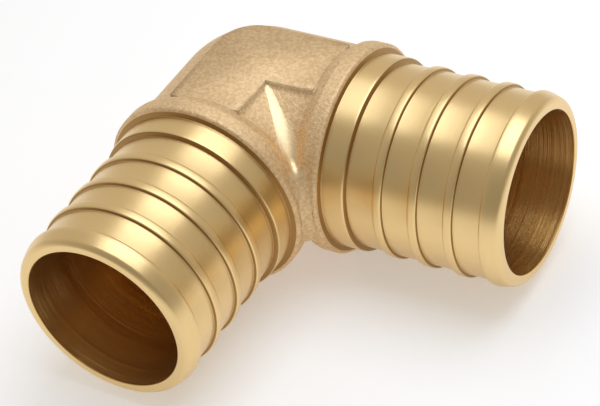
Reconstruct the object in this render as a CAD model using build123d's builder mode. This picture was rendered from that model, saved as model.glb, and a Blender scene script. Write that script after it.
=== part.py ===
"""A 90 degree crimp elbow for PEX pipe, nominal 1 inch.

The fitting is one piece of brass. The body and both collars are hot forged and
keep the forged skin. Both spigots are turned, and the waterway is bored in from
the two mouths until the bores meet. The pipe slides over a spigot up to the
stop land, and a copper ring is crimped round it over the ribs.

The origin is where the two bore axes cross. One leg runs along +X and the
other along -Y, and +Z stands square to the bend. Sizes are in millimetres.
"""
from build123d import *
import os

# Fits the pipe
rib_d = 21.9                # crests of the ribs, a close fit in the pipe

# Walls and steps, from the crests inwards and outwards
rib_height = 0.4            # crest above the barrel
barrel_wall = 1.3           # barrel to waterway
land_height = 0.6           # stop land above the barrel
body_wall = 2.05            # forged body to waterway
collar_rise = 0.85          # collar above the body
lip_wall = 0.9              # at the mouth, where the rounded nose ends

# Along a leg, from the crossing of the bores outwards
crotch_gap = 1.3            # the collars meet in the crotch this far behind their shoulders
collar_width = 3.35         # from the foot of the swell to the shoulder
collar_swell = 1.7          # how far the body takes to swell into the collar
shoulder_run = 0.45         # turned step down from the collar to the stop land
land_width = 2.55
land_drop = 0.35            # slope from the stop land down to the barrel
rib_foot = 1.32             # width of a rib where it stands on the barrel
rib_flank = 0.25            # run of each sloping side of a rib
rib_gap = 2.9               # bare barrel between one rib and the next
rib_count = 3               # whole ribs, before the one that forms the nose
nose_crest = 0.45           # level part of the nose rib
nose_run = 1.74             # run of the rounded nose that leads the pipe on

# Forged pads on the two faces of the bend, left plain
pad_step = 0.46             # how far the edge of a pad stands above the body
pad_half_width = 4.45
pad_overrun = 0.15          # how far a pad runs into the swell of the collar

# Forged web that fills the crease on the inside of the bend
web_rise = 0.2              # crown of its curve above the body
web_top_half_width = 0.35   # where it comes out from under a pad
web_foot_half_width = 1.45  # where it would meet the plane of the bend
gusset_half_width = 0.8     # end of the web, between the collars
gusset_height = 5.5         # above and below the plane of the bend
gusset_depth = 3.1          # how far it curves back from the crotch

# Worked out from the sizes above
rib_r = rib_d / 2
barrel_r = rib_r - rib_height
bore_r = barrel_r - barrel_wall
land_r = barrel_r + land_height
body_r = bore_r + body_wall
collar_r = body_r + collar_rise
lip_r = bore_r + lip_wall
rib_pitch = rib_foot + rib_gap
collar_shoulder = collar_r + crotch_gap
collar_foot = collar_shoulder - collar_width
land_start = collar_shoulder + shoulder_run
land_end = land_start + land_width
barrel_start = land_end + land_drop
first_rib = barrel_start + rib_gap + rib_foot / 2
nose_foot = barrel_start + rib_gap + rib_count * rib_pitch
nose_start = nose_foot + rib_flank
nose_end = nose_start + nose_crest
mouth_reach = nose_end + nose_run
pad_reach = collar_foot + pad_overrun
pad_edge = (body_r**2 - pad_half_width**2) ** 0.5
pad_height = pad_edge + pad_step
neck_end = (collar_foot, body_r)
swell_mid = (collar_foot + collar_swell / 2, body_r + collar_rise / 2)
swell_end = (collar_foot + collar_swell, collar_r)

# Along the diagonal between the legs, which the web follows
diagonal = 2**0.5
web_start = pad_half_width
web_crown = body_r + web_rise
web_end = body_r * diagonal + web_foot_half_width
web_out = pad_half_width * diagonal + web_top_half_width
web_ratio = (1 - (pad_edge / web_crown) ** 2) ** 0.5
web_centre = (web_out - web_ratio * web_end) / (1 - web_ratio)
gusset_end = collar_r * diagonal + 0.9 * gusset_half_width

# Stands on the diagonal, with its first direction out through the crotch
mitre = Plane(origin=(0, 0, 0), x_dir=(1, -1, 0), z_dir=(-1, -1, 0))
legs = (
    (Plane(origin=(0, 0, 0), x_dir=(1, 0, 0), z_dir=(0, 0, 1)), Axis.X),
    (Plane(origin=(0, 0, 0), x_dir=(0, -1, 0), z_dir=(0, 0, 1)), Axis.Y),
)

with BuildPart() as elbow:
    # Each leg is one revolved profile: neck, collar, stop land, ribs and nose
    for leg_plane, leg_axis in legs:
        with BuildSketch(leg_plane):
            with BuildLine():
                # The two bends of the swell and the nose are cut as short straight tapers
                hollow = TangentArc(neck_end, swell_mid, tangent=(1, 0), mode=Mode.PRIVATE)
                brow = TangentArc(swell_end, swell_mid, tangent=(-1, 0), mode=Mode.PRIVATE)
                nose = TangentArc(
                    (nose_end, rib_r),
                    (mouth_reach, lip_r),
                    tangent=(1, 0),
                    mode=Mode.PRIVATE,
                )
                Polyline(
                    (0, body_r),
                    neck_end,
                    hollow @ 0.5,
                    swell_mid,
                    brow @ 0.5,
                    swell_end,
                    (collar_shoulder, collar_r),
                    (land_start, land_r),
                    (land_end, land_r),
                    (barrel_start, barrel_r),
                    (nose_foot, barrel_r),
                    (nose_start, rib_r),
                    nose @ 0,
                    nose @ 0.4,
                    nose @ 0.75,
                    nose @ 1,
                    (mouth_reach, 0),
                    (0, 0),
                    (0, body_r),
                )
            make_face()
            with Locations(*[(first_rib + k * rib_pitch, barrel_r) for k in range(rib_count)]):
                Polygon(
                    (-rib_foot / 2, -rib_height),
                    (-rib_foot / 2, 0),
                    (-rib_foot / 2 + rib_flank, rib_height),
                    (rib_foot / 2 - rib_flank, rib_height),
                    (rib_foot / 2, 0),
                    (rib_foot / 2, -rib_height),
                    align=None,
                )
        revolve(axis=leg_axis)

    # The heel of the bend is a ball as wide as the body
    Sphere(body_r)

    # A web fills the crease on the inside of the bend, from under the pads to the
    # crotch, where it ends in a narrower gusset between the collars
    with BuildSketch(mitre):
        with Locations((web_centre, 0)):
            Ellipse(web_end - web_centre, web_crown)
        with Locations((web_start, 0)):
            Rectangle(
                web_end,
                2 * web_crown,
                align=(Align.MIN, Align.CENTER),
                mode=Mode.INTERSECT,
            )
    extrude(amount=1.4 * web_foot_half_width, both=True)
    with BuildSketch(mitre):
        with Locations((gusset_end - gusset_depth, 0)):
            Ellipse(gusset_depth, gusset_height)
    extrude(amount=gusset_half_width, both=True)

    # A pad follows the bend on both faces; it is flat and cuts the crown of the body
    with BuildSketch() as pad_outline:
        with BuildLine():
            Polyline(
                (pad_half_width, -pad_half_width),
                (pad_reach, -pad_half_width),
                (pad_reach, pad_half_width),
                (0, pad_half_width),
            )
            RadiusArc((0, pad_half_width), (-pad_half_width, 0), -pad_half_width)
            Polyline(
                (-pad_half_width, 0),
                (-pad_half_width, -pad_reach),
                (pad_half_width, -pad_reach),
                (pad_half_width, -pad_half_width),
            )
        make_face()
    extrude(amount=pad_height, both=True)
    for face_height, away in ((pad_height, body_r), (-pad_height, -body_r)):
        with BuildSketch(Plane.XY.offset(face_height)):
            add(pad_outline.sketch)
        extrude(amount=away, mode=Mode.SUBTRACT)

    # The waterway: two bores that end in one ball-shaped pocket
    for leg_plane, leg_axis in legs:
        with BuildSketch(leg_plane):
            with BuildLine():
                Polyline(
                    (0, 0),
                    (0, bore_r),
                    (mouth_reach, bore_r),
                    (mouth_reach, 0),
                    (0, 0),
                )
            make_face()
        revolve(axis=leg_axis, mode=Mode.SUBTRACT)
    Sphere(bore_r, mode=Mode.SUBTRACT)

elbow.part.label = "elbow_fitting"
os.makedirs("parts", exist_ok=True)
export_step(elbow.part, "parts/elbow_fitting.step")
print(f"mouths {mouth_reach:.2f} mm from the crossing of the bores")
print(f"waterway {2 * bore_r:.2f} mm, collars {2 * collar_r:.2f} mm across")
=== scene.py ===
# %% [markdown]
# # A brass crimp elbow for plastic water pipe
# The real fitting starts as one hot forging. Its ball-shaped heel, both necks and both collars keep the forged skin.
# The two spigots are then turned on a lathe and bored from their mouths, so they have sharp steps and a bright skin.
# The CAD solid gives the sizes. This lesson dresses it: finely turned spigots, five brass finishes and a small studio.

# %% Load the frame
import math

import bmesh
import bpy
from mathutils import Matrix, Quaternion, Vector


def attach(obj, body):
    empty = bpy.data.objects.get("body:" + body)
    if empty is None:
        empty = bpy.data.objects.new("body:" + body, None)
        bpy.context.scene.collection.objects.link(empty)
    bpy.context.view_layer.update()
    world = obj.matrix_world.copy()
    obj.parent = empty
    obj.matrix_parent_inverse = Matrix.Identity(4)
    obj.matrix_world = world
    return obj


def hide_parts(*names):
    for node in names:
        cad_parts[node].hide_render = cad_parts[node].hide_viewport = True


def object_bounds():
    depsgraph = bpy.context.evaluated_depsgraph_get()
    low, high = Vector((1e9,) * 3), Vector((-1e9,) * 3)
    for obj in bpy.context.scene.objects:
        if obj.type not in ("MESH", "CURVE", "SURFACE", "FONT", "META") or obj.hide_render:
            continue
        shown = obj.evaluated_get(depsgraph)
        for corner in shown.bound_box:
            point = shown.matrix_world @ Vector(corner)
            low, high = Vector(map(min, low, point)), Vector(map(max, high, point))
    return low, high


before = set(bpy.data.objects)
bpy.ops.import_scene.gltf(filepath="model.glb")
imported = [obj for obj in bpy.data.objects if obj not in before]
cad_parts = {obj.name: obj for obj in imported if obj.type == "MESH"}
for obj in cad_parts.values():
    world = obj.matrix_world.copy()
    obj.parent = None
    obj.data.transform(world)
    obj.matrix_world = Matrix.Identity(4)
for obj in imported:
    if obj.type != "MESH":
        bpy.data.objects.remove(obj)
cad_box = [list(corner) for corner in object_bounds()]
MM = 0.001    # Blender works in metres, and the sizes in this lesson are in millimetres
print("CAD box in mm:", [[round(v / MM, 2) for v in corner] for corner in cad_box])

# %% [markdown]
# ## Camera
# A camera close to a small part swells its near end and bends its circles. A long lens from further off keeps the two
# round mouths close to true ellipses. This one stands in front of the bend, between the mouths, and looks down on them.
# It is rolled a little, so that the elbow lies across the picture.


# %% Camera
def add_object(name, data):
    """Puts data into the scene as an object."""
    made = bpy.data.objects.new(name, data)
    bpy.context.scene.collection.objects.link(made)
    return made


CAMERA_AT = Vector((113.29, -155.24, 150.90)) * MM
CAMERA_TO = Vector((10.38, -10.27, -0.55)) * MM
CAMERA_ROLL = math.radians(-9.73)
FOCAL_LENGTH, SENSOR_WIDTH = 126.7, 36
camera = add_object("camera", bpy.data.cameras.new("camera"))
camera.location = CAMERA_AT
sight = CAMERA_TO - CAMERA_AT
camera.rotation_mode = "QUATERNION"
camera.rotation_quaternion = sight.to_track_quat("-Z", "Y") @ Quaternion((0, 0, 1), CAMERA_ROLL)
camera.data.sensor_width = SENSOR_WIDTH
camera.data.lens = FOCAL_LENGTH
camera.data.clip_start = 10 * MM
bpy.context.scene.camera = camera
down = math.degrees(math.asin(-sight.z / sight.length))
print(f"camera: {sight.length / MM:.0f} mm from its target, looking {down:.0f} degrees down")

# %% [markdown]
# ## Sizes along a leg
# Both legs are alike, so one set of sizes does for both. Distances run along a leg from the crossing of the bores, and
# radii run out from its axis, in millimetres. The reach of a leg and the width of a collar come from the CAD box.
# The CAD solid spares facets with gentle slopes between its steps. A lathe tool leaves steps that are nearly square,
# so the slopes are steeper here, and the rest stays within a fraction of a millimetre of the solid.

# %% Sizes along a leg
MOUTH = cad_box[1][0] / MM                           # where a leg ends
COLLAR_R = -cad_box[0][0] / MM                       # the collars are the widest part
SHOULDER = 13.55                                     # where the collar ends and the lathe's work starts
LAND_START, LAND_END, LAND_R = 13.75, 16.5, 11.15    # the land that the pipe stops against
BARREL_START, BARREL_R = 16.62, 10.55
FIRST_RIB, RIB_COUNT = 19.78, 3                      # whole ribs, before the one that forms the nose
RIB_WIDTH, RIB_GAP, RIB_R = 1.1, 3.12, 10.95
FLANK = 0.1                                          # run of each sloping side of a rib
NOSE_BEND, NOSE_END, NOSE_R = 33.1, 34.5, 10.56      # it starts to bend in, then turns down to the lip
LIP_R, BORE_R = 10.05, 9.25                          # outer and inner edge of the mouth
RIB_PITCH = RIB_WIDTH + RIB_GAP
rib_starts = [FIRST_RIB + k * RIB_PITCH for k in range(RIB_COUNT)]
nose_start = FIRST_RIB + RIB_COUNT * RIB_PITCH
print("ribs start at", [round(start, 2) for start in rib_starts], "mm, and the nose at", round(nose_start, 2), "mm")

# %% [markdown]
# ## Outline of a turned spigot
# A lathe tool follows one outline while the work spins, so a spigot is one outline turned round its axis.
# Stacked cylinders would give the steps too, but a real edge is never quite sharp, and the soft edge is what catches
# the light. So the outline is drawn with plain corners first, and each corner is then rounded with a short curve.


# %% Rounded corners
ALONE, SHARED = 0.95, 0.48    # the part of a side that a corner may take, alone or with a corner at the far end
CURVE_STEPS = 4


def soften(corners):
    """Rounds each inner corner (distance, radius, how far to round) with a short curve."""
    softened = [corners[0][:2]]
    for before, corner, after in zip(corners, corners[1:], corners[2:]):
        here = Vector(corner[:2])
        sides = [Vector(other[:2]) - here for other in (before, after)]
        shares = [SHARED if other[2] else ALONE for other in (before, after)]
        reach = min(corner[2], *(share * side.length for share, side in zip(shares, sides)))
        start, end = (here + side.normalized() * reach for side in sides)
        for k in range(CURVE_STEPS + 1):
            t = k / CURVE_STEPS
            softened.append(tuple(start * (1 - t) ** 2 + here * (2 * t * (1 - t)) + end * t ** 2))
    softened.append(corners[-1][:2])
    return softened


print("a corner becomes", len(soften([(0, 0, 0), (1, 0, 0.2), (1, 1, 0)])) - 2, "points")

# %% [markdown]
# ## The corners of the outline
# From the collar out, a spigot has a shoulder, a land that stops the pipe, a barrel with three ribs that grip it, and
# a fourth rib that becomes the nose. At the lip the outline turns back along the bore, so that the shape is closed.
# The nose is rounded most, because the pipe has to slide over it. The feet of the steps are cut by the sharp corner of
# the tool, so they stay almost square.

# %% Outline of a spigot
CUT = 13.1                 # the forged half ends here, and the spigot starts
FOOT, EDGE = 0.05, 0.2     # rounding at the foot of a step, and on the edges of a rib
SHOULDER_EDGE, LAND_EDGE = 0.48, 0.36
NOSE_CURVE, NOSE_TIP, LIP_EDGE = 0.6, 0.3, 0.12
corners = [
    (CUT, COLLAR_R, 0), (SHOULDER, COLLAR_R, SHOULDER_EDGE), (LAND_START, LAND_R, FOOT),
    (LAND_END, LAND_R, LAND_EDGE), (BARREL_START, BARREL_R, FOOT)]
for start in rib_starts:
    end = start + RIB_WIDTH
    corners += [
        (start, BARREL_R, FOOT), (start + FLANK, RIB_R, EDGE),
        (end, RIB_R, EDGE), (end + FLANK, BARREL_R, FOOT)]
corners += [
    (nose_start, BARREL_R, FOOT), (nose_start + FLANK, RIB_R, EDGE), (NOSE_BEND, RIB_R, NOSE_CURVE),
    (NOSE_END, NOSE_R, NOSE_TIP), (MOUTH, LIP_R, LIP_EDGE), (MOUTH, BORE_R, LIP_EDGE), (CUT, BORE_R, 0)]
outline = soften(corners)
print(len(corners), "corners become", len(outline), "points of the outline")

# %% [markdown]
# ## Forged half
# The heel, the necks, the collars and the web in the crease have their true shapes on the CAD solid already.
# They could be modelled again, but a copy of the solid's own skin is exact. It is cut off across each leg, just before
# the shoulder, where the lathe's work starts. A cut leaves an open ring, and a bridge between its two rims closes it.


# %% Forged half
WELD = 0.001 * MM    # points nearer than this are one point


def cut_off(mesh, point, normal):
    """Cuts a tube off at a plane, closes the ring that is left, and counts the edges round it."""
    everything = mesh.verts[:] + mesh.edges[:] + mesh.faces[:]
    cut = bmesh.ops.bisect_plane(
        mesh, geom=everything, dist=WELD / 10, plane_co=point, plane_no=normal, clear_outer=True)
    rims = [e for e in cut["geom_cut"] if isinstance(e, bmesh.types.BMEdge) and e.is_boundary]
    bmesh.ops.bridge_loops(mesh, edges=rims)
    return len(rims)


fitting = bmesh.new()
fitting.from_mesh(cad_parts["elbow_fitting"].data)
bmesh.ops.remove_doubles(fitting, verts=fitting.verts, dist=WELD)
for outward in (Vector((1, 0, 0)), Vector((0, -1, 0))):
    print("edges round a cut:", cut_off(fitting, outward * CUT * MM, outward))

# %% [markdown]
# ## Which face has which finish
# The fitting is one piece of metal, so it stays one object, and each of its faces gets one of five finishes.
# On the forged half, the wall of the waterway is bored, and all the rest is forged skin. The crown of the web stands
# proud in the crease, so it is rubbed smooth while the forgings tumble against each other. Its lighter tint is partly
# a painted highlight along the crown.

# %% Finishes of the forged half
FORGED, TURNED, STEP_SHADE, BORED, RUBBED_HIGHLIT = range(5)
NEAR_WALL = 0.1                           # a face this close to the wall of the waterway is on it
WEB_FROM, GUSSET_TOP = 4.0, 4.4           # the web is further out than this, and further from the plane of the bend
ALONG_WEB, OUT_OF_CREASE = 0.02, 0.1      # cosines: a face of the crown hardly leans sideways, and looks outwards
SIDEWAYS = Vector((1, 1, 0)).normalized()
OUTWARDS = Vector((1, -1, 0)).normalized()


def in_waterway(face):
    """True for a face on the wall of the waterway, in either bore or in the pocket where they meet."""
    x, y, z = face.calc_center_median() / MM
    wall = BORE_R + NEAR_WALL
    along_x = x > -NEAR_WALL and math.hypot(y, z) < wall
    along_y = y < NEAR_WALL and math.hypot(x, z) < wall
    return along_x or along_y or math.hypot(x, y, z) < wall


def on_web(face):
    """True for a face on the crown of the web, above or below the gusset."""
    centre = face.calc_center_median() / MM
    crown = abs(face.normal.dot(SIDEWAYS)) < ALONG_WEB and face.normal.dot(OUTWARDS) > OUT_OF_CREASE
    return crown and centre.x > WEB_FROM and abs(centre.z) > GUSSET_TOP


for face in fitting.faces:
    # the crown of the web gets the rubbed finish, whose lighter tint is partly a painted highlight
    face.material_index = BORED if in_waterway(face) else RUBBED_HIGHLIT if on_web(face) else FORGED
given = [face.material_index for face in fitting.faces]
print("forged half:", given.count(FORGED), "forged,", given.count(BORED), "bored,", given.count(RUBBED_HIGHLIT), "rubbed faces")

# %% [markdown]
# ## Turned spigots
# A Screw modifier would turn the outline too. A short loop does the same, and gives each band its finish on the way.
# The barrel, the land and the crests of the ribs are turned. The narrow faces of the steps look along the leg and were
# cut by the side of the tool, so they are duller, and their dark brown is painted shade. The edge of the collar keeps
# its forged skin.


# %% Turned spigots
SEGMENTS = 160                     # makes each face less than half a millimetre wide
STEEP = 1.2                        # a band that rises more steeply than this is the face of a step
STEP_TOP = COLLAR_R - 0.3          # the face of the shoulder ends here, and the forged edge of the collar starts
FORGED_FROM = LAND_R + 0.3         # only the collar is wider than this
BORE_WALL = BORE_R + 0.05


def finish_of(point, after):
    """The finish of the band between two points of the outline."""
    (s, r), (s2, r2) = point, after
    if min(r, r2) < BORE_WALL:
        return BORED
    # the steep faces of the steps get the dark brown of painted shade
    if abs(r2 - r) > STEEP * abs(s2 - s) and s < NOSE_BEND and max(r, r2) < STEP_TOP:
        return STEP_SHADE
    return FORGED if max(r, r2) > FORGED_FROM else TURNED


def turn(mesh, outline, place):
    """Turns a closed outline round a leg; place gives the point for a distance, a radius and an angle."""
    angles = [2 * math.pi * k / SEGMENTS for k in range(SEGMENTS)]
    rings = [[mesh.verts.new(place(s * MM, r * MM, angle)) for angle in angles] for s, r in outline]
    for k, (point, ring) in enumerate(zip(outline, rings)):
        following = (k + 1) % len(outline)
        finish, next_ring = finish_of(point, outline[following]), rings[following]
        for i in range(SEGMENTS):
            j = (i + 1) % SEGMENTS
            face = mesh.faces.new((ring[i], ring[j], next_ring[j], next_ring[i]))
            face.material_index = finish


turn(fitting, outline, lambda s, r, angle: (s, r * math.cos(angle), r * math.sin(angle)))
turn(fitting, outline, lambda s, r, angle: (r * math.cos(angle), -s, r * math.sin(angle)))
print("each spigot has", len(outline) * SEGMENTS, "faces")

# %% [markdown]
# ## One object
# The three closed shells become one mesh, which rides on the part's only body. Smooth shading hides the facets, and
# every edge that bends by more than 28 degrees is kept sharp, so the edges of the pad and the cut steps stay crisp.

# %% One object
SHARP_FROM = math.radians(28)
bmesh.ops.recalc_face_normals(fitting, faces=fitting.faces)
skin = bpy.data.meshes.new("elbow_brass")
fitting.to_mesh(skin)
fitting.free()
for polygon in skin.polygons:
    polygon.use_smooth = True
skin.set_sharp_from_angle(angle=SHARP_FROM)
elbow = add_object("elbow_brass", skin)
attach(elbow, "root")
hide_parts("elbow_fitting")
print("elbow:", len(skin.polygons), "faces")

# %% [markdown]
# ## Materials in code
# Colours are easiest to pick as sRGB hex, but shaders work in linear light, so one function turns them over.
# One more function adds any shader node, sets its properties, and fills its inputs with values or links.


# %% Materials in code
def linear(code):
    """sRGB hex to a linear RGBA colour."""
    parts = [int(code[i:i + 2], 16) / 255 for i in (0, 2, 4)]
    return [p / 12.92 if p <= 0.04045 else ((p + 0.055) / 1.055) ** 2.4 for p in parts] + [1.0]


def node(tree, kind, inputs=None, **settings):
    """Adds a node, sets its properties, and fills each input with a value or a link."""
    made = tree.nodes.new(kind)
    for name, value in settings.items():
        setattr(made, name, value)
    for key, value in (inputs or {}).items():
        if isinstance(value, bpy.types.NodeSocket):
            tree.links.new(value, made.inputs[key])
        else:
            made.inputs[key].default_value = value
    return made


def new_material(name):
    """An empty node material, ready for its nodes."""
    made = bpy.data.materials.new(name)
    made.use_nodes = True
    made.node_tree.nodes.clear()
    return made


print("mid grey 808080 is", round(linear("808080")[0], 3), "in linear light")

# %% [markdown]
# ## Forged brass
# Brass that is forged hot and then blasted with grit comes out pale, matt and slightly sandy.
# A picture of the grain could be wrapped round it, but noise in the object's own space needs no unwrapping and has no
# seams. A fine noise lifts the surface, which breaks the shine into grain. A coarser one shifts the tint, as the last
# of the scale does. Ambient occlusion darkens the colour in the creases, which is painted shade.


# %% Forged brass
GRAIN = 0.19 * MM          # a dent left by the grit; real ones are nearer 0.1 mm, which is too fine to show
STAIN = 0.38 * MM          # a patch of lighter or darker skin, two dents wide
GRAIN_HEIGHT = 0.1 * MM    # several times the real height, so that it shows
PAINTED_SHADE_WIDTH = 0.9 * MM
PAINTED_CREASE_SHADE = 0.5         # how much of its colour the bottom of a crease keeps
SKIN_METALLIC = 0.85       # a film of oxide hides a little of the metal


def forged_brass(name, dark, light, roughness, relief):
    """Brass with the fine sandy skin of a hot forging, and painted shade in its creases."""
    made = new_material(name)
    tree = made.node_tree
    where = node(tree, "ShaderNodeTexCoord").outputs["Object"]
    grain = node(tree, "ShaderNodeTexNoise", {"Vector": where, "Scale": 1 / GRAIN, "Detail": 2.0})
    stain = node(tree, "ShaderNodeTexNoise", {"Vector": where, "Scale": 1 / STAIN, "Detail": 3.0})
    tint = node(tree, "ShaderNodeValToRGB", {"Fac": stain.outputs["Fac"]})
    for stop, position, code in zip(tint.color_ramp.elements, (0.35, 0.65), (dark, light)):
        stop.position, stop.color = position, linear(code)
    # painted shade: ambient occlusion darkens the colour in the creases
    crease_shade_ao = node(tree, "ShaderNodeAmbientOcclusion", {"Distance": PAINTED_SHADE_WIDTH}, samples=8)
    shade = node(tree, "ShaderNodeMapRange", {
        "Value": crease_shade_ao.outputs["AO"], "From Min": 0.35, "From Max": 0.9, "To Min": PAINTED_CREASE_SHADE, "To Max": 1.0})
    shaded = node(tree, "ShaderNodeVectorMath", {0: tint.outputs["Color"], "Scale": shade.outputs["Result"]},
                  operation="SCALE")
    bump = node(tree, "ShaderNodeBump", {
        "Height": grain.outputs["Fac"], "Distance": GRAIN_HEIGHT, "Strength": relief})
    shader = node(tree, "ShaderNodeBsdfPrincipled", {
        "Base Color": shaded.outputs["Vector"], "Metallic": SKIN_METALLIC, "Roughness": roughness,
        "Normal": bump.outputs["Normal"]})
    node(tree, "ShaderNodeOutputMaterial", {"Surface": shader.outputs[0]})
    return made


# Matt and sandy: a soft sheen with no clear reflection
forged = forged_brass("forged_brass", "E0C091", "F5D7AA", roughness=0.58, relief=0.8)
# The same skin worn smoother and lighter; its lighter tint paints part of the highlight along the crown of the web
rubbed_highlit = forged_brass("rubbed_highlit_brass", "F0D2A0", "F8DDB0", roughness=0.36, relief=0.25)
print("forged skins:", forged.name, "and", rubbed_highlit.name, "with", round(MM / GRAIN, 1), "dents to a millimetre")

# %% [markdown]
# ## Turned brass
# A lathe tool moves on a little with each turn and leaves a very fine thread. A noise that reads only the distance
# along the leg makes such rings. The legs run along +X and -Y, so the larger of x and -y is the distance along
# whichever leg a point is on. At their real spacing the rings are too fine to be seen one by one. Together they draw
# the shine out across them, into the satin bands that turned metal has.


# %% Turned brass
FEED = 0.07          # how far the tool moves on in a turn, in mm
BORE_FEED = 0.055
MICRON = 1e-6


def lathe_brass(name, color, roughness, feed, depth, metallic=1.0):
    """Brass with the rings a lathe tool leaves: their spacing in millimetres and their depth in metres."""
    made = new_material(name)
    tree = made.node_tree
    where = node(tree, "ShaderNodeTexCoord").outputs["Object"]
    xyz = node(tree, "ShaderNodeSeparateXYZ", {0: where})
    minus_y = node(tree, "ShaderNodeMath", {0: xyz.outputs["Y"], 1: -1.0}, operation="MULTIPLY")
    along = node(tree, "ShaderNodeMath", {0: xyz.outputs["X"], 1: minus_y.outputs[0]}, operation="MAXIMUM")
    rings = node(tree, "ShaderNodeTexNoise", {"W": along.outputs[0], "Scale": 1 / (feed * MM), "Detail": 2.0},
                 noise_dimensions="1D")
    marks = node(tree, "ShaderNodeBump", {"Height": rings.outputs["Fac"], "Distance": depth, "Strength": 1.0})
    shader = node(tree, "ShaderNodeBsdfPrincipled", {
        "Base Color": linear(color), "Metallic": metallic, "Roughness": roughness, "Normal": marks.outputs["Normal"]})
    node(tree, "ShaderNodeOutputMaterial", {"Surface": shader.outputs[0]})
    return made


# Turned with a fine tool: satin, yellow and bright
turned = lathe_brass("turned_brass", "EDCE94", 0.3, FEED, 10 * MICRON)
# Cut by the side of the tool, so duller; its dark brown is painted shade, a brown line at each step
step_shade = lathe_brass("step_shade_brass", "A88350", 0.42, FEED, 5 * MICRON)
# Bored with a long bar that chatters, with marks deeper than real so that they show: brown gold with broad streaks
bored = lathe_brass("bored_brass", "E0B46E", 0.27, BORE_FEED, 32 * MICRON, metallic=0.9)
for finish in (forged, turned, step_shade, bored, rubbed_highlit):    # in the order of FORGED, TURNED, STEP_SHADE, BORED, RUBBED_HIGHLIT
    skin.materials.append(finish)
print("finishes:", [finish.name for finish in skin.materials])

# %% [markdown]
# ## Floor
# A sheet of matt white paper carries the soft shadow. Under a light that suits the brass, the paper comes out grey.
# More light would burn the brass out. So the paper gets a little light of its own, but only as the camera or a
# reflection sees it, which whitens the ground and leaves the light on the brass alone.

# %% Floor
HALF_FLOOR = 1.5    # metres
PAPER_GLOW = 0.3
low = cad_box[0][2]
sheet = bpy.data.meshes.new("floor")
floor_corners = [(x * HALF_FLOOR, y * HALF_FLOOR, low) for x, y in ((-1, -1), (1, -1), (1, 1), (-1, 1))]
sheet.from_pydata(floor_corners, [], [(0, 1, 2, 3)])
floor = add_object("floor", sheet)
paper = new_material("white_paper")
tree = paper.node_tree
path = node(tree, "ShaderNodeLightPath").outputs
seen = node(tree, "ShaderNodeMath", {0: path["Is Camera Ray"], 1: path["Is Glossy Ray"]}, operation="MAXIMUM")
seen = node(tree, "ShaderNodeMath", {0: seen.outputs[0], 1: path["Is Transmission Ray"]}, operation="MAXIMUM")
lift = node(tree, "ShaderNodeMath", {0: seen.outputs[0], 1: PAPER_GLOW}, operation="MULTIPLY")
matt = node(tree, "ShaderNodeBsdfDiffuse", {"Color": linear("F2F2F2")})
glow = node(tree, "ShaderNodeEmission", {"Color": linear("FFFFFF"), "Strength": lift.outputs[0]})
both = node(tree, "ShaderNodeAddShader", {0: matt.outputs[0], 1: glow.outputs[0]})
node(tree, "ShaderNodeOutputMaterial", {"Surface": both.outputs[0]})
sheet.materials.append(paper)
print("floor at", round(low / MM, 2), "mm, where the collars stand on it")

# %% [markdown]
# ## Lamp
# Bright metal shows its surroundings, so a lamp is chosen for the shape of its reflection as much as for its light.
# A small lamp gives thin hard streaks. A softbox as wide as a hand's span gives broad soft ones, and because it hangs
# close above the elbow, its reflection shifts from one end of a spigot to the other, as on a small shooting table.

# %% Lamp
SOFTBOX_SIZE = (185 * MM, 190 * MM)
SOFTBOX_AT = Vector((42, 34, 200)) * MM
softbox = add_object("softbox", bpy.data.lights.new("softbox", "AREA"))
softbox.data.shape = "RECTANGLE"
softbox.data.size, softbox.data.size_y = SOFTBOX_SIZE
softbox.data.color = (0.92, 1.0, 1.15)    # daylight, a little cooler than white
softbox.data.energy = 0.2                 # watts; it hangs so close that this is plenty
softbox.location = SOFTBOX_AT
print("the softbox hangs", round((SOFTBOX_AT.z - low) / MM), "mm above the floor")

# %% [markdown]
# ## Room
# The room round the table is what the sides of the spigots reflect. An even grey would make both sides alike, but a
# real room is lighter towards its window. So the grey runs from dim to lighter across the room, by direction alone.

# %% Room
WINDOW_SIDE = (-0.5, 0.87, 0.0)      # the direction in which the room is lightest
DIMMEST, LIGHTEST = 0.32, 0.67
world = bpy.data.worlds.new("studio")
bpy.context.scene.world = world
world.use_nodes = True
tree = world.node_tree
tree.nodes.clear()
direction = node(tree, "ShaderNodeTexCoord").outputs["Generated"]
towards = node(tree, "ShaderNodeVectorMath", {0: direction, 1: WINDOW_SIDE}, operation="DOT_PRODUCT")
level = node(tree, "ShaderNodeMapRange", {
    "Value": towards.outputs["Value"], "From Min": -1.0, "From Max": 1.0, "To Min": DIMMEST, "To Max": LIGHTEST})
room = node(tree, "ShaderNodeBackground", {"Color": linear("FFF9EF"), "Strength": level.outputs["Result"]})
node(tree, "ShaderNodeOutputWorld", {"Surface": room.outputs[0]})
bpy.context.scene.view_settings.view_transform = "Standard"    # shows a colour as it is written
print("the room's strength runs from", DIMMEST, "to", LIGHTEST)
